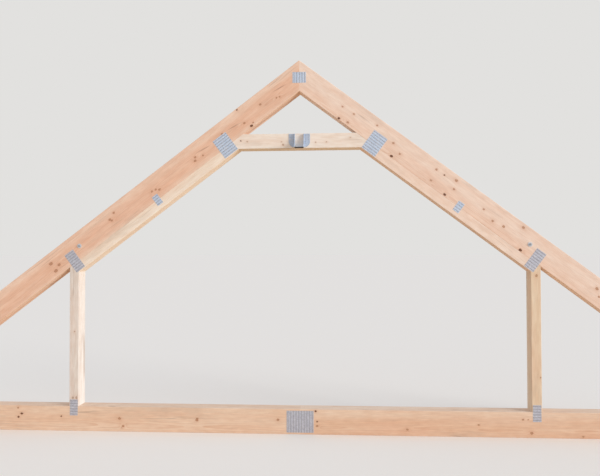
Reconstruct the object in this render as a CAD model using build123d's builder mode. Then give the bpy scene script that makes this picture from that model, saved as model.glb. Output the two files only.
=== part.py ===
from build123d import *
import math
import os

# Attic roof truss: equal plies of plated lumber set side by side, with a hanger on the collar tie.
# Millimetres. X runs along the span, Y through the thickness with the front at -Y, Z up.
# The origin is at mid-span, at the bottom, in the middle of the depth with the hanger.

# Dressed lumber
board_thickness = 38.1
top_chord_depth = 234.95
bottom_chord_depth = 234.95
collar_depth = 139.7
filler_depth = 88.9
post_width = 88.9
strut_width = 88.9
eased_edge = 3.0

# Layout of one ply
span = 8534.4
slope_run = 304.8
slope_rise = 228.6
heel_butt = 35.0  # height left of the bottom chord at its scarfed end
room_width = 4267.2  # between the knee posts
gable_height = 403.75  # open height between the collar tie and the apex's underside
strut_inset = 877.2  # the strut's centre in from the end of the span
heel_wedge_length = 304.8

# Plies
ply_count = 4
ply_gap = 2.5  # room for the plates between two plies

# Connector plates, each its length along the slots by its width
plate_thickness = 1.0
apex_plate_size = (127.0, 101.6)
collar_plate_size = (203.2, 152.4)
stitch_plate_size = (101.6, 63.5)
post_top_plate_size = (203.2, 101.6)
post_foot_plate_size = (152.4, 76.2)
strut_plate_size = (101.6, 63.5)
heel_plate_size = (355.6, 254.0)
splice_plate_size = (254.0, 203.2)

# How far each plate's centre lies off its joint
apex_plate_rise = 129.0  # above the mitre's lower end
joint_plate_rise = 19.0  # outward from the chord's underside, square to it
collar_plate_inset = 28.0  # from the collar tie's lower corner towards mid-span
post_top_plate_inset = 15.0  # from the knee post's middle towards mid-span
post_foot_plate_drop = 12.0  # below the bottom chord's top
stitch_plate_inset_left = 65.0  # from the filler's middle towards mid-span
stitch_plate_inset_right = -53.0
heel_plate_inset = 48.0  # from the wedge's tip towards mid-span
heel_plate_rise = 5.0  # above the bottom chord's top

# Hanger on the collar tie, a bent saddle with a flange each side
hanger_width = 84.0
hanger_height = 136.0
hanger_depth = 88.9
hanger_steel = 2.7
hanger_bend = 3.0
hanger_side_lip = 8.0  # height of the saddle's sides over the seat at its front edge
hanger_side_waist = 46.0  # depth of the saddle's sides at their bend
hanger_side_waist_height = 46.0
hanger_side_top = 20.0  # depth of the saddle's sides at the top
flange_width = 56.0
flange_foot_height = 10.0  # from the seat's underside up to the flange's lower end
flange_foot_width = 12.0
flange_shoulder = 62.0  # height where the flange gets its full width, at the end of its round corner

# Nails through the flanges, in two columns a side
nail_radius = 1.9
nail_length = 36.0
nail_head_radius = 3.7
nail_head_thickness = 1.5
nail_clearance = 0.15
nails_in_inner_column = 5
nails_in_outer_column = 3
nail_pitch = 19.0
nail_column_pitch = 26.0
nail_edge = 14.0  # from the flange's top and outer edges

# A structural screw with a washer on each side, over the knee posts, that draws the plies together
screw_inset = 49.0  # from the knee post's middle towards mid-span
screw_rise = 108.0  # from the top chord's underside, square to it
screw_radius = 3.2
screw_length = 150.0  # under its head
screw_clearance = 0.2
screw_head_flats = 19.0
screw_head_height = 9.0
screw_head_chamfer = 1.5
washer_radius = 21.0
washer_thickness = 3.0

slope = slope_rise / slope_run
slope_angle = math.degrees(math.atan(slope))
slope_cos = math.cos(math.radians(slope_angle))
slope_sin = math.sin(math.radians(slope_angle))
half_span = span / 2
half_room = room_width / 2
apex_underside = heel_butt + slope * half_span
top_chord_rise = top_chord_depth / slope_cos
collar_top = apex_underside - gable_height
collar_bottom = collar_top - collar_depth
truss_thickness = ply_count * board_thickness + (ply_count - 1) * ply_gap
front_face = (hanger_depth - truss_thickness - plate_thickness) / 2

left, right = -1, 1
side_names = {left: "left", right: "right"}

# Ways that a board's grain runs, as distance out from mid-span and height
level = (1, 0)
upright = (0, 1)
down_the_slope = (slope_cos, -slope_sin)


def chord_underside(out):
    """Height of the top chord's underside at a distance out from mid-span."""
    return apex_underside - slope * out


def out_at_height(height):
    """Distance out from mid-span where the top chord's underside has this height."""
    return (apex_underside - height) / slope


def off_chord_underside(out, rise):
    """A point of the top chord's underside, moved outward by rise, square to the chord."""
    return out + rise * slope_sin, chord_underside(out) + rise * slope_cos


def facing_front(y):
    """An upright plane facing the front, at a depth, with its own x along the span."""
    return Plane(origin=(0, y, 0), x_dir=(1, 0, 0), z_dir=(0, -1, 0))


def ply_face(ply):
    """Y of a ply's front face. Ply 1 is the front one."""
    return front_face + (ply - 1) * (board_thickness + ply_gap)


plies = range(1, ply_count + 1)
plate_backs = []
for ply in plies:
    plate_backs.append(ply_face(ply))
    plate_backs.append(ply_face(ply) + board_thickness + plate_thickness)


def sawn_board(outline, side, ply, grain):
    """One board of a ply, from its outline in distance out and height, with eased long edges."""
    with BuildPart() as board:
        with BuildSketch(facing_front(ply_face(ply) + board_thickness)):
            with BuildLine():
                Polyline(*[(side * out, height) for out, height in outline], close=True)
            make_face()
        extrude(amount=board_thickness)
        if eased_edge > 0:
            long_way = Axis((0, 0, 0), (side * grain[0], 0, grain[1]))
            fillet(board.edges().filter_by(long_way), eased_edge)
    return board.part


def bored(board, places, radius, depth):
    """A board with round holes that start at the truss's front face."""
    with BuildPart() as pierced:
        add(board)
        with BuildSketch(facing_front(front_face)):
            with Locations(*places):
                Circle(radius)
        extrude(amount=-depth, mode=Mode.SUBTRACT)
    return pierced.part


def connector_plates(centres, size, turn):
    """Plates on both faces of every ply at each centre, as separate solids."""
    with BuildPart() as plates:
        for back in plate_backs:
            with BuildSketch(facing_front(back)):
                for side, (out, height) in centres:
                    with Locations((side * out, height)):
                        Rectangle(*size, rotation=side * turn)
            extrude(amount=plate_thickness)
    return plates.part


def write_piece(part, name):
    part.label = name
    export_step(part, f"parts/{name}.step")


# Outlines of the boards, with the right-hand side's distances out
collar_end_low = out_at_height(collar_bottom)
collar_end_high = out_at_height(collar_top)
filler_drop = filler_depth / slope_cos
post_outer = half_room + post_width
strut_centre = half_span - strut_inset
strut_inner = strut_centre - strut_width / 2
strut_outer = strut_centre + strut_width / 2
wedge_tip = out_at_height(bottom_chord_depth)
wedge_foot = wedge_tip - heel_wedge_length

top_chord_outline = [
    (0, apex_underside),
    (0, apex_underside + top_chord_rise),
    (half_span, heel_butt + top_chord_rise),
    (half_span, heel_butt),
]
bottom_chord_outline = [
    (0, 0),
    (0, bottom_chord_depth),
    (wedge_tip, bottom_chord_depth),
    (half_span, heel_butt),
    (half_span, 0),
]
rafter_filler_outline = [
    (half_room, chord_underside(half_room)),
    (half_room, chord_underside(half_room) - filler_drop),
    (out_at_height(collar_bottom + filler_drop), collar_bottom),
    (collar_end_low, collar_bottom),
]
knee_post_outline = [
    (half_room, bottom_chord_depth),
    (post_outer, bottom_chord_depth),
    (post_outer, chord_underside(post_outer)),
    (half_room, chord_underside(half_room)),
]
outer_strut_outline = [
    (strut_inner, bottom_chord_depth),
    (strut_outer, bottom_chord_depth),
    (strut_outer, chord_underside(strut_outer)),
    (strut_inner, chord_underside(strut_inner)),
]
heel_wedge_outline = [
    (wedge_foot, bottom_chord_depth),
    (wedge_tip, bottom_chord_depth),
    (wedge_foot, chord_underside(wedge_foot)),
]
collar_tie_outline = [
    (-collar_end_low, collar_bottom),
    (collar_end_low, collar_bottom),
    (collar_end_high, collar_top),
    (-collar_end_high, collar_top),
]

os.makedirs("parts", exist_ok=True)

# The structural screws' place, out from mid-span and up
post_middle = half_room + post_width / 2
screw_out, screw_height = off_chord_underside(post_middle - screw_inset - screw_rise * slope_sin, screw_rise)
screw_bore = screw_radius + screw_clearance
screw_bore_depth = screw_length - washer_thickness + screw_clearance

for ply in plies:
    for side in (left, right):
        top_chord = sawn_board(top_chord_outline, side, ply, down_the_slope)
        boards = {
            "top_chord": bored(top_chord, [(side * screw_out, screw_height)], screw_bore, screw_bore_depth),
            "bottom_chord": sawn_board(bottom_chord_outline, side, ply, level),
            "rafter_filler": sawn_board(rafter_filler_outline, side, ply, down_the_slope),
            "knee_post": sawn_board(knee_post_outline, side, ply, upright),
            "outer_strut": sawn_board(outer_strut_outline, side, ply, upright),
        }
        for name, board in boards.items():
            write_piece(board, f"ply{ply}_{name}_{side_names[side]}")

for side in (left, right):
    wedges = [sawn_board(heel_wedge_outline, side, ply, level) for ply in plies]
    with BuildPart() as heel_wedges:
        for wedge in wedges:
            add(wedge)
    write_piece(heel_wedges.part, f"heel_wedges_{side_names[side]}")

# The nails' places on the hanger's flanges, in X and Z
outer_column = hanger_width / 2 + hanger_steel + flange_width - nail_edge
nail_places = []
for side in (left, right):
    for row in range(nails_in_inner_column):
        height = collar_bottom + hanger_height - nail_edge - row * nail_pitch
        nail_places.append((side * (outer_column - nail_column_pitch), height))
        if row < nails_in_outer_column:
            nail_places.append((side * outer_column, height))

# Collar ties, the front one pierced by the hanger's nails
for ply in plies:
    collar_tie = sawn_board(collar_tie_outline, right, ply, level)
    if ply == 1:
        collar_tie = bored(collar_tie, nail_places, nail_radius + nail_clearance, nail_length + nail_clearance)
    write_piece(collar_tie, f"ply{ply}_collar_tie")

# Where each plate's centre lies, out from mid-span and up
square_to_chord = 90 - slope_angle
standing = 90
filler_middle = (half_room + collar_end_low) / 2
apex_place = (0, apex_underside + apex_plate_rise)
splice_place = (0, bottom_chord_depth / 2)
collar_place = off_chord_underside(collar_end_low - collar_plate_inset, joint_plate_rise)
post_top_place = off_chord_underside(post_middle - post_top_plate_inset, joint_plate_rise)
post_foot_place = (post_middle, bottom_chord_depth - post_foot_plate_drop)
stitch_place_left = off_chord_underside(filler_middle - stitch_plate_inset_left, 0)
stitch_place_right = off_chord_underside(filler_middle - stitch_plate_inset_right, 0)
strut_top_place = off_chord_underside(strut_centre, 0)
strut_foot_place = (strut_centre, bottom_chord_depth)
heel_place = (wedge_tip - heel_plate_inset, bottom_chord_depth + heel_plate_rise)

plates = {
    "apex_plates": ([(right, apex_place)], apex_plate_size, 0),
    "splice_plates": ([(right, splice_place)], splice_plate_size, 0),
    "stitch_plates": (
        [(left, stitch_place_left), (right, stitch_place_right)],
        stitch_plate_size,
        square_to_chord,
    ),
}
paired_plates = {
    "collar_plates": (collar_place, collar_plate_size, square_to_chord),
    "post_top_plates": (post_top_place, post_top_plate_size, square_to_chord),
    "post_foot_plates": (post_foot_place, post_foot_plate_size, standing),
    "strut_top_plates": (strut_top_place, strut_plate_size, standing),
    "strut_foot_plates": (strut_foot_place, strut_plate_size, standing),
    "heel_plates": (heel_place, heel_plate_size, 0),
}
for name, (place, size, turn) in paired_plates.items():
    plates[name] = ([(left, place), (right, place)], size, turn)
for name, (centres, size, turn) in plates.items():
    write_piece(connector_plates(centres, size, turn), name)

# The hanger: a steel saddle open at the front and the top
saddle_inner = hanger_width / 2
saddle_outer = saddle_inner + hanger_steel
flange_outer = saddle_outer + flange_width
flange_bottom = collar_bottom + flange_foot_height
hanger_top = collar_bottom + hanger_height
seat_front = front_face - hanger_depth
side_lip_top = collar_bottom + hanger_steel + hanger_side_lip
with BuildPart() as collar_hanger:
    with BuildSketch(facing_front(front_face)):
        with BuildLine():
            FilletPolyline(
                (-saddle_outer, hanger_top),
                (-saddle_outer, collar_bottom),
                (saddle_outer, collar_bottom),
                (saddle_outer, hanger_top),
                radius=hanger_bend + hanger_steel,
            )
            Line((saddle_outer, hanger_top), (saddle_inner, hanger_top))
            FilletPolyline(
                (saddle_inner, hanger_top),
                (saddle_inner, collar_bottom + hanger_steel),
                (-saddle_inner, collar_bottom + hanger_steel),
                (-saddle_inner, hanger_top),
                radius=hanger_bend,
            )
            Line((-saddle_inner, hanger_top), (-saddle_outer, hanger_top))
        make_face()
    extrude(amount=hanger_depth)
    with BuildSketch(Plane.YZ):
        with BuildLine():
            Polyline(
                (seat_front, side_lip_top),
                (front_face - hanger_side_waist, collar_bottom + hanger_side_waist_height),
                (front_face - hanger_side_top, hanger_top),
                (seat_front, hanger_top),
                close=True,
            )
        make_face()
    extrude(amount=saddle_outer, both=True, mode=Mode.SUBTRACT)
    with BuildSketch(facing_front(front_face)):
        for side in (left, right):
            with BuildLine():
                Polyline(
                    (side * flange_outer, collar_bottom + flange_shoulder),
                    (side * flange_outer, hanger_top),
                    (side * saddle_outer, hanger_top),
                    (side * saddle_outer, flange_bottom),
                    (side * (saddle_outer + flange_foot_width), flange_bottom),
                )
                TangentArc(
                    (side * flange_outer, collar_bottom + flange_shoulder),
                    (side * (saddle_outer + flange_foot_width), flange_bottom),
                    tangent=(0, -1),
                )
            make_face()
    extrude(amount=hanger_steel)
    with BuildSketch(facing_front(front_face)):
        with Locations(*nail_places):
            Circle(nail_radius + nail_clearance)
    extrude(amount=hanger_steel, mode=Mode.SUBTRACT)
write_piece(collar_hanger.part, "collar_hanger")

with BuildPart() as hanger_nails:
    with BuildSketch(facing_front(front_face - hanger_steel)):
        with Locations(*nail_places):
            Circle(nail_head_radius)
    extrude(amount=nail_head_thickness)
    with BuildSketch(facing_front(front_face - hanger_steel)):
        with Locations(*nail_places):
            Circle(nail_radius)
    extrude(amount=-(hanger_steel + nail_length))
write_piece(hanger_nails.part, "hanger_nails")

# The structural screws and their washers
screw_places = [(side * screw_out, screw_height) for side in (left, right)]
with BuildPart() as screw_washers:
    with BuildSketch(facing_front(front_face)):
        with Locations(*screw_places):
            Circle(washer_radius)
            Circle(screw_bore, mode=Mode.SUBTRACT)
    extrude(amount=washer_thickness)
write_piece(screw_washers.part, "screw_washers")

with BuildPart() as ply_screws:
    with BuildSketch(facing_front(front_face - washer_thickness)):
        with Locations(*screw_places):
            RegularPolygon(screw_head_flats / 2, 6, major_radius=False)
    extrude(amount=screw_head_height)
    if screw_head_chamfer > 0:
        chamfer(ply_screws.faces().group_by(Axis.Y)[0].edges(), screw_head_chamfer)
    with BuildSketch(facing_front(front_face - washer_thickness)):
        with Locations(*screw_places):
            Circle(screw_radius)
    extrude(amount=-screw_length)
write_piece(ply_screws.part, "ply_screws")
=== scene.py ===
# Attic roof truss of four board plies: fir, slotted steel plates and a hanger, dressed and lit.
import bmesh
import bpy
import math
import random
from mathutils import Matrix, Vector


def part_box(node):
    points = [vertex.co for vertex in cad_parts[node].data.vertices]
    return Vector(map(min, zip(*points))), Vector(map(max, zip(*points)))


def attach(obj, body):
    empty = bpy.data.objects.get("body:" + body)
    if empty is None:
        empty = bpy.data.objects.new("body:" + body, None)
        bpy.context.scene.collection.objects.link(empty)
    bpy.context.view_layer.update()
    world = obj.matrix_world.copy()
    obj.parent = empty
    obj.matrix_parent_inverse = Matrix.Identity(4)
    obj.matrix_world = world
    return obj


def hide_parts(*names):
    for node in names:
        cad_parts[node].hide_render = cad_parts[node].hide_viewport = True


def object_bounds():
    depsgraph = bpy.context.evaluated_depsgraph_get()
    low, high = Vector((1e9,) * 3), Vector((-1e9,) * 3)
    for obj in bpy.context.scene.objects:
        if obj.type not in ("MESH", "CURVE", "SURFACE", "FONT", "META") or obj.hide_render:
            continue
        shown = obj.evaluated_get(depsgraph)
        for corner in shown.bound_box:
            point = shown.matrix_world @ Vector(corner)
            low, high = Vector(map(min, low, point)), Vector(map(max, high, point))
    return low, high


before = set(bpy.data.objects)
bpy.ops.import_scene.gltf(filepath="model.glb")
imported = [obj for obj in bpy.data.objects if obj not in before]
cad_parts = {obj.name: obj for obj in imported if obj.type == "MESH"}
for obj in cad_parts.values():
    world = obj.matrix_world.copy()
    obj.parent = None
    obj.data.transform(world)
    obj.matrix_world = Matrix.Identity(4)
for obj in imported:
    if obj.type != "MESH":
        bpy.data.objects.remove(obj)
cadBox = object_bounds()
print("frame loaded:", len(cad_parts), "nodes")

slope = math.atan(9 / 12)  # roof pitch, 9 in 12
plies = 4
chordDepth = 0.23495
fillerDepth = 0.0889
fillerStart = 0.72         # metres down the slope from the apex
underApex = cadBox[1].z - chordDepth / math.cos(slope)  # where the chords' undersides meet


def fromHex(code):
    channels = [int(code[i:i + 2], 16) / 255 for i in (1, 3, 5)]
    return [c / 12.92 if c <= 0.04045 else ((c + 0.055) / 1.055) ** 2.4 for c in channels] + [1.0]


def addNode(tree, kind, settings, sockets, out=0):
    node = tree.nodes.new("ShaderNode" + kind)
    for key, value in settings.items():
        setattr(node, key, value)
    for key, value in sockets.items():
        if isinstance(value, bpy.types.NodeSocket):
            tree.links.new(value, node.inputs[key])
        else:
            node.inputs[key].default_value = value
    return node if out is None else node.outputs[out]


def newMaterial(name):
    material = bpy.data.materials.new(name)
    material.use_nodes = True
    material.node_tree.nodes.clear()
    return material, material.node_tree


def dress(node, material):
    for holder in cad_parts[node].material_slots:
        holder.material = material


def addObject(name, data):
    thing = bpy.data.objects.new(name, data)
    bpy.context.scene.collection.objects.link(thing)
    return thing


# A colour mix takes its factor and its two colours at these inputs and gives the colour at this output
mixFactor, mixA, mixB, mixOut = 0, 6, 7, 2
colourMix = {"data_type": "RGBA"}
tintMix = {"data_type": "RGBA", "blend_type": "MULTIPLY"}

fir = {
    "ringWidth": 0.0075,              # real rings are 3 to 4 mm, drawn wider so that the arches show
    "ringWander": 0.055,              # how far the pith strays from the board's line
    "ringBend": 0.03,                 # how far rings swerve round a knot
    "pithBeside": (0.03, 0.11),       # the pith lies this far before or behind the middle of the board
    "pithOver": (0.003, 0.135),       # and this far over its own zero line, which is an edge of most boards
    "heartReach": (0.07, 0.15),       # heartwood ends this far from the pith
    "heartFade": 0.03,
    "heartShare": 0.55,               # how much heartwood warms the colour
    "stretchShare": 0.5,              # how much the warmer stretches do
    "paleShift": -0.05,               # and every board is a little paler than both make it
    "lateSharpness": 2.2,             # latewood darkens slowly and ends sharply
    "lateShare": 0.42,
    "fibreShades": (0.92, 1.06),
    "denseTint": (0.95, 0.90, 0.87, 1),
    "openTint": (1.04, 1.05, 1.06, 1),
    "blush": "#EBBDA6",               # pink heartwood in long clouds
    "pitch": "#80523A",
    "pitchHalfWidth": 0.0085,         # real pitch streaks are 3 to 5 mm wide, drawn wider so that they show
    "check": "#8E7767",
    "checkEdge": (0.03, 0.012),       # how far the noise is from its middle where a check starts and is full
    "soil": "#A89C8E",
    "sawnEnd": "#BC9470",
    "sawnShare": 0.62,
    "roughness": 0.66,
    "sawnRoughness": 0.3,             # a sawn end is rougher by this much
    "bumpStrength": 0.5,
    "bumpHeight": 0.0006,
}

# Patterns of the wood: waves per metre along, through and across the board, detail and roughness of the
# noise, 1 or -1 for the order of the board's three lucky shifts, and for some the two levels of the noise
# between which the pattern grows, and the share that it grows to
firPatterns = {
    "wander": ((0.6, 3, 3), 2, 0.5, 1, None),                 # the pith's slow stray
    "stretch": ((0.9, 6, 14), 3, 0.5, 1, (0.3, 0.7, 1)),      # warmer and paler stretches
    "fibre": ((7, 420, 420), 2, 0.5, 1, None),                # real ones are finer, drawn 2.4 mm apart
    "blush": ((1.3, 5, 6), 2, 0.5, -1, (0.42, 0.68, 0.5)),
    "mottle": ((9, 34, 34), 3, 0.5, -1, (0.3, 0.7, 1)),       # denser wood, 30 mm wide and 110 mm long
    "check": ((1.1, 3, 55), 1, 0.5, -1, None),                # drying cracks 18 mm apart, drawn 1.5 mm wide
    "dry": ((1.8, 4, 11), 1, 0.5, 1, (0.57, 0.68, 0.3)),      # where those cracks run
    "soil": ((1.6, 5, 7), 5, 0.6, 1, (0.55, 0.8, 0.35)),      # dirt from handling
}

# Colours of each kind of board, sapwood first, then heartwood, then the latewood lines
firLooks = {
    "top_chord_left": ("#F4DDC9", "#ECC2A6", "#DAA282"),
    "top_chord_right": ("#F8E8DA", "#F3D8C4", "#DFB193"),
    "rafter_filler_left": ("#FCF4E6", "#F6E6D2", "#E3C5A5"),
    "rafter_filler_right": ("#FAEBDD", "#F4DBC7", "#DFB396"),
    "bottom_chord_left": ("#EFD8C0", "#E6BF9F", "#D2A07C"),
    "bottom_chord_right": ("#F0DAC3", "#E6C1A2", "#D3A27F"),
    "collar_tie": ("#FAF7EF", "#F6EEE2", "#EBDBC9"),
    "knee_post_left": ("#EFECE6", "#E6DFD6", "#D6C7B8"),
    "knee_post_right": ("#F1E3CC", "#E9D4B7", "#D3AF88"),
    "outer_strut_left": ("#ECD2B6", "#DDB592", "#CB9974"),
    "outer_strut_right": ("#ECD2B6", "#DDB592", "#CB9974"),
    "heel_wedges_left": ("#ECD2B6", "#DDB592", "#CB9974"),
    "heel_wedges_right": ("#ECD2B6", "#DDB592", "#CB9974"),
}

tight, dead = 0, 1  # a tight knot is grown in and brown, a dead one has a dark ring of bark
knotLooks = {
    "halo": "#D29F7C",
    "cores": {tight: "#AE8468", dead: "#7C4B2E"},
    "rims": {tight: "#8F664C", dead: "#40261A"},
    "paling": {tight: 0.4, dead: 0},   # this share of a knot's colour is the board's own latewood
    "glow": 0.9,
    "glowFade": -0.7,
    "squash": 0.8,                     # knots are a quarter longer along the grain
    "raggedWaves": 70,                 # their outline is uneven every 14 mm
    "raggedReach": (0.013, 0.013, 0.01),
    "coreEdge": (1.15, 0.85),          # in radii of the knot
    "rimMiddle": 0.95,
    "rimEdge": (0.3, 0.08),
}
farOff = 9.0  # in radii or half lengths, too far for a knot or a streak to show

# Where seeded knots grow
whorls = {
    "every": 0.62,                     # branches grow in whorls, so knots come in groups
    "along": (0.15, 0.85),             # a whorl's place in its own stretch of the board
    "spread": 0.05,
    "wideBoard": (1, 1, 2, 3),         # how many knots a whorl has
    "narrowBoard": (0, 1, 1),
    "narrowDepth": 0.1,
    "margin": 0.06,                    # share of the board's depth that is free of knots at each edge
    "radius": (0.004, 0.010),
    "deadShare": 0.25,
}

# Knots of the front ply: metres down the slope from the apex (or along the board), metres over its lower
# edge, radius, and 0 for tight or 1 for dead
frontKnots = {
    "top_chord_left": [
        (0.18, 0.072, 0.006, 0), (0.21, 0.081, 0.007, 0), (0.37, 0.126, 0.008, 0), (0.58, 0.222, 0.006, 1),
        (0.56, 0.014, 0.010, 1), (0.53, 0.030, 0.006, 0), (0.60, 0.077, 0.008, 0), (0.83, 0.125, 0.008, 0),
        (1.17, 0.104, 0.008, 0), (1.19, 0.078, 0.010, 0), (1.10, 0.073, 0.007, 0), (1.63, 0.068, 0.009, 0),
        (1.66, 0.090, 0.007, 0), (1.70, 0.098, 0.007, 0), (2.12, 0.160, 0.008, 0), (2.19, 0.130, 0.010, 0),
        (2.18, 0.112, 0.008, 0), (2.91, 0.140, 0.013, 0), (2.85, 0.084, 0.011, 0), (2.91, 0.055, 0.013, 0),
        (4.10, 0.060, 0.010, 1), (4.16, 0.110, 0.007, 0), (4.65, 0.150, 0.011, 0),
    ],
    "top_chord_right": [
        (0.42, 0.121, 0.006, 0), (0.55, 0.127, 0.006, 0), (0.46, 0.012, 0.009, 1), (0.55, 0.030, 0.008, 0),
        (0.79, 0.168, 0.007, 0), (1.01, 0.123, 0.008, 0), (1.12, 0.078, 0.008, 0), (1.07, 0.014, 0.010, 1),
        (1.48, 0.160, 0.008, 0), (1.57, 0.161, 0.006, 1), (1.50, 0.048, 0.007, 0), (1.68, 0.016, 0.009, 1),
        (1.69, 0.185, 0.010, 0), (1.72, 0.106, 0.008, 0), (2.05, 0.119, 0.007, 0), (2.18, 0.080, 0.008, 0),
        (2.29, 0.098, 0.009, 0), (2.44, 0.198, 0.010, 0), (2.54, 0.014, 0.011, 1), (3.30, 0.140, 0.011, 0),
        (3.36, 0.090, 0.007, 0), (3.95, 0.070, 0.010, 1), (4.70, 0.130, 0.010, 0),
    ],
    "collar_tie": [
        (-0.558, 0.076, 0.005, 1), (-0.498, 0.069, 0.005, 0), (-0.155, 0.034, 0.007, 0),
        (-0.171, 0.063, 0.004, 0), (0.153, 0.053, 0.005, 0), (0.256, 0.056, 0.005, 0),
        (0.480, 0.095, 0.004, 0),
    ],
    "knee_post_left": [(0.314, 0.055, 0.008, 0), (0.315, 0.020, 0.008, 0), (0.95, 0.040, 0.005, 0)],
    "rafter_filler_left": [],
    "rafter_filler_right": [],
}
# Pitch streaks of the front ply, each from one end to the other, as places along and across the board
frontStreaks = {
    "top_chord_left": [((0.03, 0.124), (0.235, 0.152)), ((0.59, 0.096), (0.80, 0.127)),
                       ((0.955, 0.103), (1.175, 0.136))],
}


def knotShares(tree, board, knots):
    # How much of each point lies in the glow round the knots, in their cores and in their rims
    ragged = addNode(tree, "TexNoise", {}, {"Vector": board, "Scale": knotLooks["raggedWaves"], "Detail": 2},
                     "Color")
    ragged = addNode(tree, "VectorMath", {"operation": "SUBTRACT"}, {0: ragged, 1: (0.5, 0.5, 0.5)})
    ragged = addNode(tree, "VectorMath", {"operation": "MULTIPLY"}, {0: ragged, 1: knotLooks["raggedReach"]})
    plane = addNode(tree, "VectorMath", {"operation": "ADD"}, {0: board, 1: ragged})
    plane = addNode(tree, "VectorMath", {"operation": "MULTIPLY"}, {0: plane, 1: (knotLooks["squash"], 0, 1)})
    nearest = {tight: farOff, dead: farOff}
    for along, across, radius, state in knots:
        reach = addNode(tree, "VectorMath", {"operation": "DISTANCE"},
                        {0: plane, 1: (knotLooks["squash"] * along, 0, across)}, "Value")
        reach = addNode(tree, "Math", {"operation": "MULTIPLY"}, {0: reach, 1: 1 / radius})
        nearest[state] = addNode(tree, "Math", {"operation": "MINIMUM"}, {0: nearest[state], 1: reach})
    halo = addNode(tree, "Math", {"operation": "MINIMUM"}, {0: nearest[tight], 1: nearest[dead]})
    halo = addNode(tree, "Math", {"operation": "MULTIPLY"}, {0: halo, 1: knotLooks["glowFade"]})
    halo = addNode(tree, "Math", {"operation": "EXPONENT"}, {0: halo})
    cores, rims = {}, {}
    for state in (tight, dead):
        starts, full = knotLooks["coreEdge"]
        cores[state] = addNode(tree, "MapRange", {"interpolation_type": "SMOOTHSTEP"},
                               {"Value": nearest[state], "From Min": starts, "From Max": full})
        starts, full = knotLooks["rimEdge"]
        rim = addNode(tree, "Math", {"operation": "SUBTRACT"}, {0: nearest[state], 1: knotLooks["rimMiddle"]})
        rim = addNode(tree, "Math", {"operation": "ABSOLUTE"}, {0: rim})
        rims[state] = addNode(tree, "MapRange", {"interpolation_type": "SMOOTHSTEP"},
                              {"Value": rim, "From Min": starts, "From Max": full})
    return halo, cores, rims


def growthRings(tree, board, wander, halo, rng):
    # Rings round a pith beside the board, so that its face cuts them in long arches
    pith = (0, rng.choice((-1, 1)) * rng.uniform(*fir["pithBeside"]), rng.uniform(*fir["pithOver"]))
    rings = addNode(tree, "VectorMath", {"operation": "SUBTRACT"}, {0: board, 1: pith})
    rings = addNode(tree, "VectorMath", {"operation": "MULTIPLY"}, {0: rings, 1: (0, 1, 1)})
    rings = addNode(tree, "VectorMath", {"operation": "LENGTH"}, {0: rings}, "Value")
    rings = addNode(tree, "Math", {"operation": "MULTIPLY_ADD"}, {0: wander, 1: fir["ringWander"], 2: rings})
    rings = addNode(tree, "Math", {"operation": "MULTIPLY_ADD"}, {0: halo, 1: fir["ringBend"], 2: rings})
    heartEdge = rng.uniform(*fir["heartReach"])
    heartWood = addNode(tree, "MapRange", {"interpolation_type": "SMOOTHSTEP"},
                        {"Value": rings, "From Min": heartEdge + fir["heartFade"],
                         "From Max": heartEdge - fir["heartFade"]})
    lateWood = addNode(tree, "Math", {"operation": "MULTIPLY"}, {0: rings, 1: 1 / fir["ringWidth"]})
    lateWood = addNode(tree, "Math", {"operation": "FRACT"}, {0: lateWood})
    lateWood = addNode(tree, "Math", {"operation": "POWER"}, {0: lateWood, 1: fir["lateSharpness"]})
    return lateWood, heartWood


def pitchShare(tree, board, streaks, fibre):
    # Long spindles from one end of each streak to the other, broken up by the fibres
    pitch = farOff
    for (nearAlong, nearAcross), (farAlong, farAcross) in streaks:
        halfAlong, halfAcross = (farAlong - nearAlong) / 2, (farAcross - nearAcross) / 2
        reach = addNode(tree, "Mapping", {"vector_type": "TEXTURE"},
                        {"Vector": board, "Location": (nearAlong + halfAlong, 0, nearAcross + halfAcross),
                         "Rotation": (0, -math.atan2(halfAcross, halfAlong), 0),
                         "Scale": (math.hypot(halfAlong, halfAcross), 1, fir["pitchHalfWidth"])})
        reach = addNode(tree, "VectorMath", {"operation": "LENGTH"}, {0: reach}, "Value")
        pitch = addNode(tree, "Math", {"operation": "MINIMUM"}, {0: pitch, 1: reach})
    pitch = addNode(tree, "MapRange", {"interpolation_type": "SMOOTHSTEP"},
                    {"Value": pitch, "From Min": 1.0, "From Max": 0.0})
    return addNode(tree, "Math", {"operation": "MULTIPLY"}, {0: pitch, 1: fibre})


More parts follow.
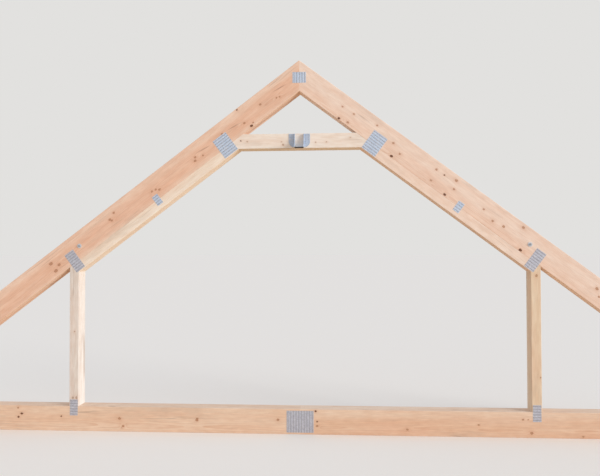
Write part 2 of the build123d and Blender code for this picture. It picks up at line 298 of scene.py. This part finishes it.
def planedFir(name, colours, turn, start, knots, streaks, seed):
    # Planed fir: pale earlywood, warm latewood lines in long arches and a dull satin from the planer knives
    rng = random.Random(seed)
    sap, heart, late = [fromHex(c) for c in colours]
    material, tree = newMaterial(name)
    place = addNode(tree, "TexCoord", {}, {}, "Object")
    facing = addNode(tree, "TexCoord", {}, {}, "Normal")
    board = addNode(tree, "Mapping", {}, {"Vector": place, "Location": [-c for c in start],
                                          "Rotation": (0, turn, 0)})
    luck = [rng.uniform(-50, 50) for _ in range(3)]
    pattern = {}
    for part, (waves, detail, roughness, order, levels) in firPatterns.items():
        shifted = addNode(tree, "Mapping", {}, {"Vector": board, "Location": luck[::order], "Scale": waves})
        noise = addNode(tree, "TexNoise", {}, {"Vector": shifted, "Scale": 1, "Detail": detail,
                                               "Roughness": roughness}, "Fac")
        if levels:
            starts, full, share = levels
            noise = addNode(tree, "MapRange", {}, {"Value": noise, "From Min": starts, "From Max": full,
                                                   "To Max": share})
        pattern[part] = noise
    fibre = pattern["fibre"]
    halo, cores, rims = knotShares(tree, board, knots)
    lateWood, heartWood = growthRings(tree, board, pattern["wander"], halo, rng)

    # Sapwood turns to heartwood with pink clouds, and latewood, fibres and mottles go over both
    warmth = addNode(tree, "Math", {"operation": "MULTIPLY_ADD"},
                     {0: heartWood, 1: fir["heartShare"], 2: fir["paleShift"]})
    warmth = addNode(tree, "Math", {"operation": "MULTIPLY_ADD", "use_clamp": True},
                     {0: pattern["stretch"], 1: fir["stretchShare"], 2: warmth})
    colour = addNode(tree, "Mix", colourMix, {mixFactor: warmth, mixA: sap, mixB: heart}, mixOut)
    cloud = addNode(tree, "Math", {"operation": "MULTIPLY"}, {0: pattern["blush"], 1: warmth})
    blush = [(a + b) / 2 for a, b in zip(heart, fromHex(fir["blush"]))]
    colour = addNode(tree, "Mix", colourMix, {mixFactor: cloud, mixA: colour, mixB: blush}, mixOut)
    lines = addNode(tree, "Math", {"operation": "MULTIPLY"}, {0: lateWood, 1: fir["lateShare"]})
    colour = addNode(tree, "Mix", colourMix, {mixFactor: lines, mixA: colour, mixB: late}, mixOut)
    darkest, palest = fir["fibreShades"]
    shade = addNode(tree, "MapRange", {}, {"Value": fibre, "From Min": 0.3, "From Max": 0.7,
                                           "To Min": darkest, "To Max": palest})
    colour = addNode(tree, "Mix", tintMix, {mixFactor: 1.0, mixA: colour, mixB: shade}, mixOut)
    tint = addNode(tree, "Mix", colourMix,
                   {mixFactor: pattern["mottle"], mixA: fir["denseTint"], mixB: fir["openTint"]}, mixOut)
    colour = addNode(tree, "Mix", {**tintMix, "clamp_result": True},
                     {mixFactor: 1.0, mixA: colour, mixB: tint}, mixOut)

    # What lies over the wood's own colour, from the first layer to the last
    glow = addNode(tree, "Math", {"operation": "MULTIPLY", "use_clamp": True},
                   {0: halo, 1: knotLooks["glow"]})
    pitch = pitchShare(tree, board, streaks, fibre)
    starts, full = fir["checkEdge"]
    check = addNode(tree, "Math", {"operation": "SUBTRACT"}, {0: pattern["check"], 1: 0.5})
    check = addNode(tree, "Math", {"operation": "ABSOLUTE"}, {0: check})
    check = addNode(tree, "MapRange", {}, {"Value": check, "From Min": starts, "From Max": full})
    check = addNode(tree, "Math", {"operation": "MULTIPLY"}, {0: check, 1: pattern["dry"]})
    # A sawn end drinks in dirt and light: darker and rougher than the faces
    grain = (math.cos(turn), 0, math.sin(turn))
    sawn = addNode(tree, "VectorMath", {"operation": "DOT_PRODUCT"}, {0: facing, 1: grain}, "Value")
    sawn = addNode(tree, "Math", {"operation": "ABSOLUTE"}, {0: sawn})
    sawn = addNode(tree, "MapRange", {}, {"Value": sawn, "From Min": 0.35, "From Max": 0.55,
                                          "To Max": fir["sawnShare"]})
    layers = [(glow, knotLooks["halo"], knotLooks["paling"][tight])]
    for state in (tight, dead):
        paling = knotLooks["paling"][state]
        layers += [(cores[state], knotLooks["cores"][state], paling),
                   (rims[state], knotLooks["rims"][state], paling)]
    layers += [(pitch, fir["pitch"], 0), (check, fir["check"], 0), (pattern["soil"], fir["soil"], 0),
               (sawn, fir["sawnEnd"], 0)]
    for cover, code, paling in layers:
        tone = [paling * a + (1 - paling) * b for a, b in zip(late, fromHex(code))]
        colour = addNode(tree, "Mix", colourMix, {mixFactor: cover, mixA: colour, mixB: tone}, mixOut)

    # Latewood is a little glossier and higher, dead bark and checks lie lower
    rough = addNode(tree, "Math", {"operation": "MULTIPLY_ADD"}, {0: lateWood, 1: -0.1, 2: fir["roughness"]})
    rough = addNode(tree, "Math", {"operation": "MULTIPLY_ADD"}, {0: sawn, 1: fir["sawnRoughness"], 2: rough})
    height = fibre
    for part, share in ((lateWood, 0.6), (rims[dead], -1.2), (check, -1.5)):
        height = addNode(tree, "Math", {"operation": "MULTIPLY_ADD"}, {0: part, 1: share, 2: height})
    bump = addNode(tree, "Bump", {}, {"Height": height, "Strength": fir["bumpStrength"],
                                      "Distance": fir["bumpHeight"]}, "Normal")
    shader = addNode(tree, "BsdfPrincipled", {}, {"Base Color": colour, "Roughness": rough, "Normal": bump})
    addNode(tree, "OutputMaterial", {}, {"Surface": shader}, None)
    return material


def boardLine(kind, box):
    # Turn of the grain about the depth, the board's own zero point, and which way its own axis runs
    low, high = box
    middle = (low.y + high.y) / 2
    if kind.startswith(("top_chord", "rafter_filler")):
        side = -1 if kind.endswith("left") else 1
        start = (-side * underApex * math.sin(slope), middle, underApex * math.cos(slope))
        return -side * slope, start, side
    if kind.startswith(("knee_post", "outer_strut")):
        return math.pi / 2, (0, middle, -high.x), 1
    return 0, (0, middle, low.z), 1


def knotPlaces(kind, box, rng):
    low, high = box
    length = max(high.x - low.x, high.z - low.z)
    if kind.startswith(("top_chord", "rafter_filler")):
        length /= math.cos(slope)
        first, depth, base = 0, chordDepth, 0
        if "filler" in kind:
            first, depth, base = fillerStart, fillerDepth, -fillerDepth
    elif kind.startswith(("knee_post", "outer_strut")):
        first, depth, base = low.z, high.x - low.x, 0
    else:
        first, depth, base = low.x, high.z - low.z, 0
    groups = max(1, round(length / whorls["every"]))
    counts = whorls["wideBoard" if depth > whorls["narrowDepth"] else "narrowBoard"]
    knots = []
    for i in range(groups):
        middle = first + length * (i + rng.uniform(*whorls["along"])) / groups
        for _ in range(rng.choice(counts)):
            knots.append((middle + rng.uniform(-whorls["spread"], whorls["spread"]),
                          base + depth * rng.uniform(whorls["margin"], 1 - whorls["margin"]),
                          rng.uniform(*whorls["radius"]),
                          dead if rng.random() < whorls["deadShare"] else tight))
    return knots


def dressBoards():
    made = 0
    for node in sorted(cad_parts):
        kind = node.split("_", 1)[1] if node.startswith("ply") else node
        if kind not in firLooks:
            continue
        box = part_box(node)
        turn, start, side = boardLine(kind, box)
        front = node.startswith("ply1")
        rng = random.Random("knots of " + node)
        knots = frontKnots[kind] if front and kind in frontKnots else knotPlaces(kind, box, rng)
        knots = [(side * along, across, radius, state) for along, across, radius, state in knots]
        streaks = frontStreaks.get(kind, []) if front else []
        streaks = [[(side * along, across) for along, across in ends] for ends in streaks]
        dress(node, planedFir("planed_fir_" + node, firLooks[kind], turn, start, knots, streaks,
                              "grain of " + node))
        made += 1
    print("boards dressed:", made)


zinc = {
    "spangle": 0.006,         # zinc crystals 4 to 8 mm across
    "sheenSpread": 0.06,      # how far the roughness of the crystals differs
    "bloom": "#DDE0E6",       # white oxide in patches
    "bloomWaves": 28,         # patches about 35 mm across
    "bloomRoughness": 0.4,
    "paintedUnderShade": "#33221A",        # painted shade on faces that look down: dark brown and dead matt, as under a seat
    "underShadeRoughness": 0.5,
    "coatWaves": 400,         # the coat is uneven every 2.5 mm
    "coatStrength": 0.12,
    "coatHeight": 0.0003,
}

# Colours of the bright and the dull crystals, roughness, share of the zinc under a thin dull oxide skin where
# the bloom is least, and share of painted shade on the faces that look down
zincLooks = {
    "fresh_plate_steel": ("#D6E1F1", "#BCCBE0", 0.42, 0.25, 0),
    "weathered_plate_steel": ("#CECFD8", "#B7B8C3", 0.42, 0.25, 0),
    "galvanised_hanger_steel": ("#C0CFE2", "#ABBBD1", 0.42, 0.8, 0.95),  # longer in the weather
    "galvanised_nail": ("#C4C8CE", "#A9AEB6", 0.35, 0.25, 0),
    "zinc_plated_screw": ("#A8ABB0", "#8F9298", 0.32, 0.25, 0),
    "zinc_plated_washer": ("#DDE0E4", "#C9CCD2", 0.38, 0.25, 0),
}


def galvanisedSteel(name):
    # Hot-dipped galvanised sheet: cool grey zinc crystals, each with its own sheen, under a thin pale bloom,
    # and painted shade on faces that look down
    brightCode, dullCode, roughness, patina, underShadeShare = zincLooks[name]
    material, tree = newMaterial(name)
    place = addNode(tree, "TexCoord", {}, {}, "Object")
    facing = addNode(tree, "TexCoord", {}, {}, "Normal")
    crystal = addNode(tree, "TexVoronoi", {}, {"Vector": place, "Scale": 1 / zinc["spangle"]}, "Color")
    crystal = addNode(tree, "SeparateXYZ", {}, {"Vector": crystal})
    bloom = addNode(tree, "TexNoise", {}, {"Vector": place, "Scale": zinc["bloomWaves"], "Detail": 4}, "Fac")
    bloom = addNode(tree, "MapRange", {}, {"Value": bloom, "From Min": 0.5, "From Max": 0.75, "To Max": 0.5})
    # Painted shade: faces that look down turn dark brown, dead matt and less metal, like the shade under a
    # seat
    below = addNode(tree, "SeparateXYZ", {}, {"Vector": facing}, "Z")
    paintedUnderShade = addNode(tree, "MapRange", {}, {"Value": below, "From Min": -0.5, "From Max": -0.9,
                                          "To Max": underShadeShare})
    colour = fromHex(brightCode)
    for cover, code in ((crystal, dullCode), (bloom, zinc["bloom"]), (paintedUnderShade, zinc["paintedUnderShade"])):
        colour = addNode(tree, "Mix", colourMix,
                         {mixFactor: cover, mixA: colour, mixB: fromHex(code)}, mixOut)
    rough = addNode(tree, "Math", {"operation": "MULTIPLY_ADD"},
                    {0: crystal, 1: zinc["sheenSpread"], 2: roughness - zinc["sheenSpread"] / 2})
    rough = addNode(tree, "Math", {"operation": "MULTIPLY_ADD"},
                    {0: bloom, 1: zinc["bloomRoughness"], 2: rough})
    rough = addNode(tree, "Math", {"operation": "MULTIPLY_ADD", "use_clamp": True},
                    {0: paintedUnderShade, 1: zinc["underShadeRoughness"], 2: rough})
    skin = addNode(tree, "Math", {"operation": "ADD", "use_clamp": True}, {0: bloom, 1: patina})
    skin = addNode(tree, "Math", {"operation": "MAXIMUM"}, {0: skin, 1: paintedUnderShade})
    metal = addNode(tree, "Math", {"operation": "SUBTRACT"}, {0: 1.0, 1: skin})
    coat = addNode(tree, "TexNoise", {}, {"Vector": place, "Scale": zinc["coatWaves"], "Detail": 2}, "Fac")
    bump = addNode(tree, "Bump", {}, {"Height": coat, "Strength": zinc["coatStrength"],
                                      "Distance": zinc["coatHeight"]}, "Normal")
    shader = addNode(tree, "BsdfPrincipled", {},
                     {"Base Color": colour, "Metallic": metal, "Roughness": rough, "Normal": bump})
    addNode(tree, "OutputMaterial", {}, {"Surface": shader}, None)
    return material


# Slot floors: torn fir in greys darker than the fir, as painted shade in the slots
tornFirInPaintedShade = {
    "dark": "#77747C",
    "pale": "#A29DA0",
    "fibreWaves": 600,        # torn fibres 1.7 mm apart
    "roughness": 0.85,
    "bumpStrength": 0.6,
    "bumpHeight": 0.0003,
}


def piercedFirInPaintedShade():
    # Torn fibres at the bottom of a plate's slot, greyed and darkened as painted shade of the sheet
    material, tree = newMaterial("pierced_fir_in_painted_shade")
    place = addNode(tree, "TexCoord", {}, {}, "Object")
    torn = addNode(tree, "TexNoise", {},
                   {"Vector": place, "Scale": tornFirInPaintedShade["fibreWaves"], "Detail": 2}, "Fac")
    colour = addNode(tree, "Mix", colourMix, {mixFactor: torn, mixA: fromHex(tornFirInPaintedShade["dark"]),
                                              mixB: fromHex(tornFirInPaintedShade["pale"])}, mixOut)
    bump = addNode(tree, "Bump", {}, {"Height": torn, "Strength": tornFirInPaintedShade["bumpStrength"],
                                      "Distance": tornFirInPaintedShade["bumpHeight"]}, "Normal")
    shader = addNode(tree, "BsdfPrincipled", {},
                     {"Base Color": colour, "Roughness": tornFirInPaintedShade["roughness"], "Normal": bump})
    addNode(tree, "OutputMaterial", {}, {"Surface": shader}, None)
    return material


# Connector plates: length and width in metres, and the turn of the length on the right-hand side
upright = math.pi / 2
acrossSlope = math.pi / 2 - slope
plateSizes = {
    "apex_plates": (0.127, 0.1016, 0),
    "splice_plates": (0.254, 0.2032, 0),
    "heel_plates": (0.3556, 0.254, 0),
    "collar_plates": (0.2032, 0.1524, acrossSlope),
    "stitch_plates": (0.1016, 0.0635, acrossSlope),
    "post_top_plates": (0.2032, 0.1016, acrossSlope),
    "post_foot_plates": (0.1524, 0.0762, upright),
    "strut_top_plates": (0.1016, 0.0635, upright),
    "strut_foot_plates": (0.1016, 0.0635, upright),
}
freshPlates = ("apex_plates", "collar_plates", "stitch_plates")  # the upper plates are still bright
slots = {
    "pitch": 0.0254,      # along the plate
    "rowPitch": 0.00635,  # across the plate
    "halfLength": 0.0062,
    "halfWidth": 0.0016,
    "depth": 0.0008,      # the sheet is 1 mm thick
    "ramp": 0.0018,       # the folded tooth root slopes down at both ends
}


def pressPlate(bm, centre, size, turn, outerY, innerY, slotted):
    length, width = size
    left, bottom = -length / 2, -width / 2
    cosTurn, sinTurn = math.cos(turn), math.sin(turn)

    def at(s, t, y):
        return bm.verts.new((centre[0] + s * cosTurn - t * sinTurn, y, centre[1] + s * sinTurn + t * cosTurn))

    columns = round(length / slots["pitch"]) if slotted else 1
    rows = round(width / slots["rowPitch"]) if slotted else 1
    net = [[at(left + length * i / columns, bottom + width * j / rows, outerY) for j in range(rows + 1)]
           for i in range(columns + 1)]
    foot = [at(s * length / 2, t * width / 2, innerY) for s, t in ((-1, -1), (1, -1), (1, 1), (-1, 1))]
    bm.faces.new(foot)
    bm.faces.new([row[0] for row in net] + [foot[1], foot[0]])
    bm.faces.new(net[-1] + [foot[2], foot[1]])
    bm.faces.new([row[-1] for row in reversed(net)] + [foot[3], foot[2]])
    bm.faces.new(list(reversed(net[0])) + [foot[0], foot[3]])
    if not slotted:
        bm.faces.new([net[0][0], net[1][0], net[1][1], net[0][1]])
        return
    a, b = slots["halfLength"], slots["halfWidth"]
    rim = [(-a, -b / 2), (-a + b / 2, -b), (a - b / 2, -b), (a, -b / 2),
           (a, b / 2), (a - b / 2, b), (-a + b / 2, b), (-a, b / 2)]
    floorY = outerY + math.copysign(slots["depth"], innerY - outerY)
    for i in range(columns):
        for j in range(rows):
            s, t = left + (i + 0.5) * slots["pitch"], bottom + (j + 0.5) * slots["rowPitch"]
            top = [at(s + p, t + q, outerY) for p, q in rim]
            low = [at(s + p - math.copysign(slots["ramp"], p), t + q, floorY) for p, q in rim]
            corners = [net[i][j], net[i + 1][j], net[i + 1][j + 1], net[i][j + 1]]
            for k in range(4):
                here, after = corners[k], corners[(k + 1) % 4]
                bm.faces.new([here, after, top[(2 * k + 2) % 8], top[2 * k + 1]])
                bm.faces.new([here, top[2 * k + 1], top[2 * k]])
            for k in range(8):
                bm.faces.new([top[k], top[(k + 1) % 8], low[(k + 1) % 8], low[k]])
            # The slot's floor takes the torn fir with its painted shade
            bm.faces.new(low).material_index = 1


def buildPlates(freshSheet, dulledSheet, bottom):
    plyBoxes = [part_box(f"ply{n + 1}_collar_tie") for n in range(plies)]
    cells = 0
    for node, (length, width, turn) in plateSizes.items():
        low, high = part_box(node)
        halfX = (length * math.cos(turn) + width * math.sin(turn)) / 2
        halfZ = (length * math.sin(turn) + width * math.cos(turn)) / 2
        centres = [(1, high.x - halfX, low.z + halfZ)]
        if high.x - low.x > 2 * halfX + 0.01:  # wider than one plate, so there is one on the left too
            centres.append((-1, low.x + halfX, high.z - halfZ))
        thickness = plyBoxes[0][0].y - low.y
        bm = bmesh.new()
        for side, x, z in centres:
            for n, (plyLow, plyHigh) in enumerate(plyBoxes):
                # Slots only on the two faces of the truss that show
                for y, outward, slotted in ((plyLow.y, -thickness, n == 0),
                                            (plyHigh.y, thickness, n == plies - 1)):
                    pressPlate(bm, (x, z), (length, width), side * turn, y + outward, y, slotted)
        bmesh.ops.recalc_face_normals(bm, faces=bm.faces)
        mesh = bpy.data.meshes.new("slotted_" + node)
        bm.to_mesh(mesh)
        cells += len(bm.faces)
        bm.free()
        mesh.materials.append(freshSheet if node in freshPlates else dulledSheet)
        mesh.materials.append(bottom)
        piece = addObject("slotted_" + node, mesh)
        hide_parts(node)
        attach(piece, "root")
    print("plates pressed:", len(plateSizes), "pieces,", cells, "faces")


hardware = {
    "collar_hanger": "galvanised_hanger_steel",
    "hanger_nails": "galvanised_nail",
    "ply_screws": "zinc_plated_screw",
    "screw_washers": "zinc_plated_washer",
}


def dressHardware():
    for node, steel in hardware.items():
        dress(node, galvanisedSteel(steel))
    print("hanger, nails and screws dressed")


dressBoards()
buildPlates(galvanisedSteel("fresh_plate_steel"), galvanisedSteel("weathered_plate_steel"), piercedFirInPaintedShade())
dressHardware()

studio = {
    "floorReach": 300,
    "floorSeen": "#FBF5EC",
    "floorBounce": "#DEB78A",   # what the floor throws back at the undersides
    "floorRoughness": 0.9,
    "backdrop": "#E2E1DF",
    "ambient": 0.675,
    "sky": (0.95, 0.99, 1.08, 1),
    "keyStrength": 2.3,
    "keyTowards": (0.86, -0.42, 0.20),
    "keyAngle": 24,             # degrees across, a large soft box
}


def seenRays(tree, kinds):
    # 1 for the rays that show a surface to the eye, 0 for those by which it lights the object
    path = addNode(tree, "LightPath", {}, {}, None)
    seen = path.outputs[kinds[0]]
    for kind in kinds[1:]:
        seen = addNode(tree, "Math", {"operation": "MAXIMUM"}, {0: seen, 1: path.outputs[kind]})
    return seen


def buildFloor():
    mesh = bpy.data.meshes.new("studio_floor")
    reach = studio["floorReach"]
    mesh.from_pydata([(-reach, -reach, 0), (reach, -reach, 0), (reach, reach, 0), (-reach, reach, 0)], [],
                     [(0, 1, 2, 3)])
    material, tree = newMaterial("plain_floor")
    seen = seenRays(tree, ("Is Camera Ray", "Is Glossy Ray"))
    colour = addNode(tree, "Mix", colourMix, {mixFactor: seen, mixA: fromHex(studio["floorBounce"]),
                                              mixB: fromHex(studio["floorSeen"])}, mixOut)
    shader = addNode(tree, "BsdfPrincipled", {}, {"Base Color": colour, "Roughness": studio["floorRoughness"],
                                                  "Specular IOR Level": 0.0})
    addNode(tree, "OutputMaterial", {}, {"Surface": shader}, None)
    mesh.materials.append(material)
    addObject("studio_floor", mesh)


def lightStudio():
    world = bpy.data.worlds.new("studio_sky")
    bpy.context.scene.world = world
    world.use_nodes = True
    tree = world.node_tree
    tree.nodes.clear()
    seen = seenRays(tree, ("Is Camera Ray", "Is Glossy Ray", "Is Transmission Ray"))
    lamp = addNode(tree, "Background", {}, {"Color": studio["sky"], "Strength": studio["ambient"]})
    wall = addNode(tree, "Background", {}, {"Color": fromHex(studio["backdrop"]), "Strength": 1})
    mixed = addNode(tree, "MixShader", {}, {0: seen, 1: lamp, 2: wall})
    addNode(tree, "OutputWorld", {}, {"Surface": mixed}, None)
    light = bpy.data.lights.new("key_light", "SUN")
    light.energy = studio["keyStrength"]
    light.angle = math.radians(studio["keyAngle"])
    key = addObject("key_light", light)
    key.rotation_euler = Vector(studio["keyTowards"]).to_track_quat("Z", "Y").to_euler()


# The camera was fitted to the straight edges of the photo, 600 x 476 pixels
view = {
    "place": (0.4172, -6.2271, 1.7162),
    "focalPixels": 657.8,
    "pictureWidth": 600,
    "sensor": 36,
    "left": 0.0667,   # radians
    "up": 0.0202,
    "roll": -0.0027,
    "clipEnd": 1000,  # beyond the floor's far edge
}


def placeCamera():
    lens = bpy.data.cameras.new("camera")
    lens.sensor_width = view["sensor"]
    lens.lens = view["focalPixels"] / view["pictureWidth"] * view["sensor"]
    lens.clip_end = view["clipEnd"]
    camera = addObject("camera", lens)
    turn = Matrix.Rotation(view["left"], 4, "Z") @ Matrix.Rotation(math.pi / 2 + view["up"], 4, "X")
    camera.matrix_world = Matrix.Translation(view["place"]) @ turn @ Matrix.Rotation(view["roll"], 4, "Z")
    bpy.context.scene.camera = camera


buildFloor()
lightStudio()
placeCamera()
bpy.context.scene.view_settings.view_transform = "Standard"
print("studio and camera set")
